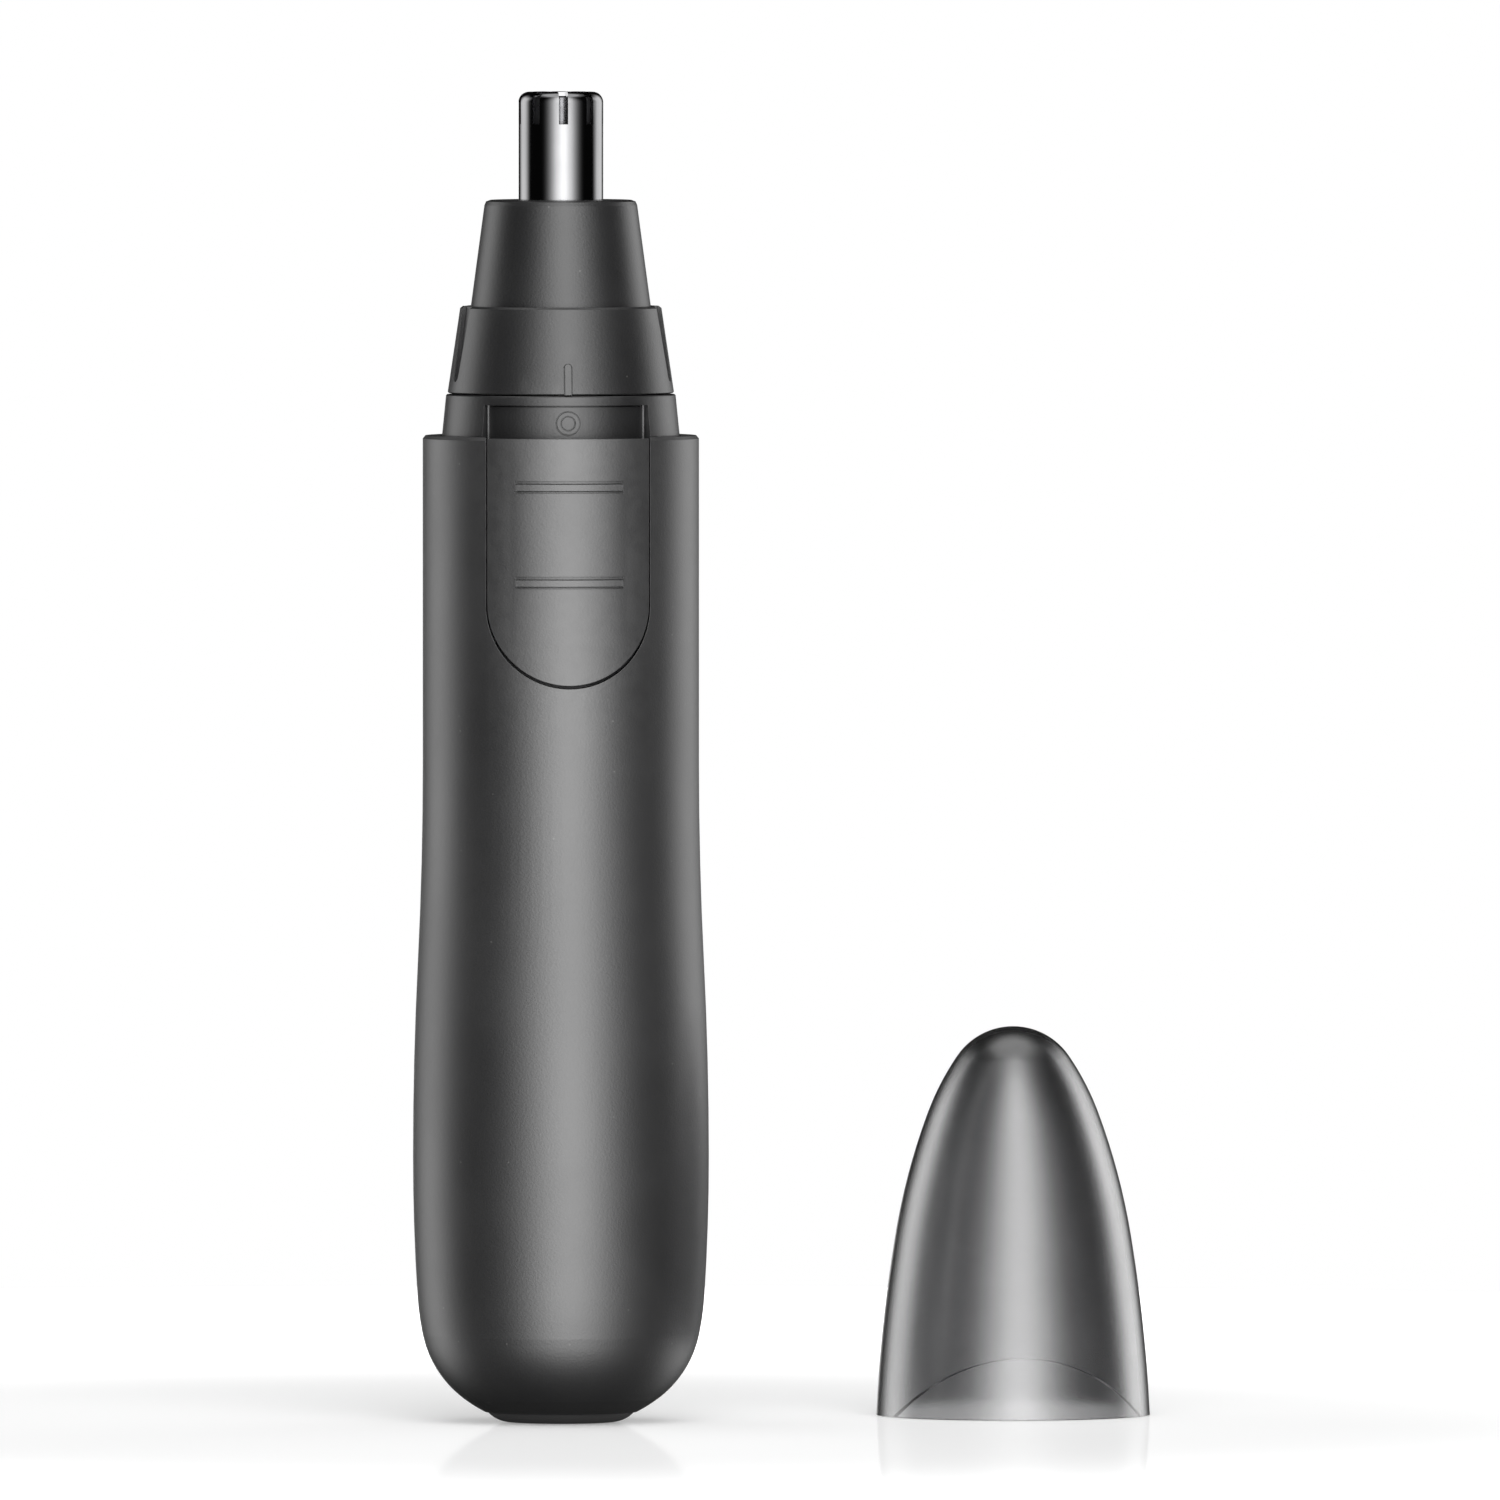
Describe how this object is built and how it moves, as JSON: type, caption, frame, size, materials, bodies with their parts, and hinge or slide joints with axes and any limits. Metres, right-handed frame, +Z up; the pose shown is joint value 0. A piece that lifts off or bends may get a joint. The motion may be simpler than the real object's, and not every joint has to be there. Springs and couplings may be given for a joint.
{
  "type": "nose hair trimmer",
  "caption": "Battery nose hair trimmer with a slotted round cutter, turning lock ring, slide switch, draw-out inner unit and a see-through cap standing beside it.",
  "frame": {"origin": "centre of the flat underside of the foot", "axes": "+Z up along the trimmer's axis to the cutter, -Y to the front with the slide switch, +X to the side where the cap stands"},
  "size_m": [0.0707, 0.039, 0.1255],
  "materials": {
    "charcoal_plastic": "fine soft matte",
    "foot_rubber": "matte",
    "inner_plastic": "satin",
    "contact_metal": "satin",
    "steel": "satin",
    "seal_rubber": "matte",
    "cell_sleeve": "gloss",
    "white_plastic": "satin",
    "bronze": "satin",
    "magnet": "matte",
    "core_iron": "matte",
    "winding_copper": "gloss",
    "polished_steel": "mirror polished",
    "blade_steel": "ground",
    "smoke_plastic": "clear gloss"
  },
  "bodies": {
    "handle": {"handle_shell": "charcoal_plastic", "base_foot": "foot_rubber"},
    "inner_unit": {"inner_frame": "inner_plastic", "frame_cover": "inner_plastic", "frame_screws": "steel", "neck_collar": "charcoal_plastic", "neck_seal": "seal_rubber", "ring_clip": "steel", "shaft_seal": "seal_rubber", "cell_can": "steel", "cell_wrap": "cell_sleeve", "cell_button": "steel", "negative_spring": "steel", "negative_strip": "contact_metal", "positive_strip": "contact_metal", "motor_strip": "contact_metal", "motor_can": "steel", "motor_end_cap": "white_plastic", "motor_bushes": "bronze", "motor_terminals": "contact_metal", "motor_magnets": "magnet", "motor_brushes": "bronze"},
    "switch": {"slide_switch": "charcoal_plastic", "switch_carrier": "inner_plastic", "switch_bridge": "contact_metal"},
    "rotor": {"motor_shaft": "steel", "motor_armature": "core_iron", "motor_windings": "winding_copper", "commutator": "winding_copper", "drive_coupling": "white_plastic"},
    "turning_ring": {"lock_ring": "charcoal_plastic"},
    "head": {"head_cone": "charcoal_plastic", "head_seal": "seal_rubber", "outer_cutter": "polished_steel", "head_bush": "white_plastic", "head_retainer": "inner_plastic"},
    "cutter": {"cutter_spindle": "white_plastic", "inner_blade": "blade_steel", "cutter_spring": "steel", "spring_washer": "steel"},
    "cap": {"protective_cap": "smoke_plastic"}
  },
  "joints": [
    {"name": "unit_draw", "type": "slide", "parent": "handle", "child": "inner_unit", "axis": [0, 0, 1], "range_m": [0, 0.095]},
    {"name": "switch_slide", "type": "slide", "parent": "inner_unit", "child": "switch", "axis": [0, 0, 1], "range_m": [0, 0.003]},
    {"name": "motor_spin", "type": "hinge", "parent": "inner_unit", "child": "rotor", "pos_m": [0, 0, 0.075], "axis": [0, 0, 1], "continuous": true},
    {"name": "ring_turn", "type": "hinge", "parent": "inner_unit", "child": "turning_ring", "pos_m": [0, 0, 0.1], "axis": [0, 0, 1], "range_deg": [0, 35]},
    {"name": "head_lift", "type": "slide", "parent": "turning_ring", "child": "head", "axis": [0, 0, 1], "range_m": [0, 0.045]},
    {"name": "cutter_spin", "type": "hinge", "parent": "head", "child": "cutter", "pos_m": [0, 0, 0.11], "axis": [0, 0, 1], "continuous": true},
    {"name": "cap_lift", "type": "slide", "parent": "handle", "child": "cap", "axis": [0, 0, 1], "range_m": [0, 0.13]}
  ],
  "couplings": [
    {"joint": "cutter_spin", "follows": "motor_spin", "ratio": 1}
  ]
}
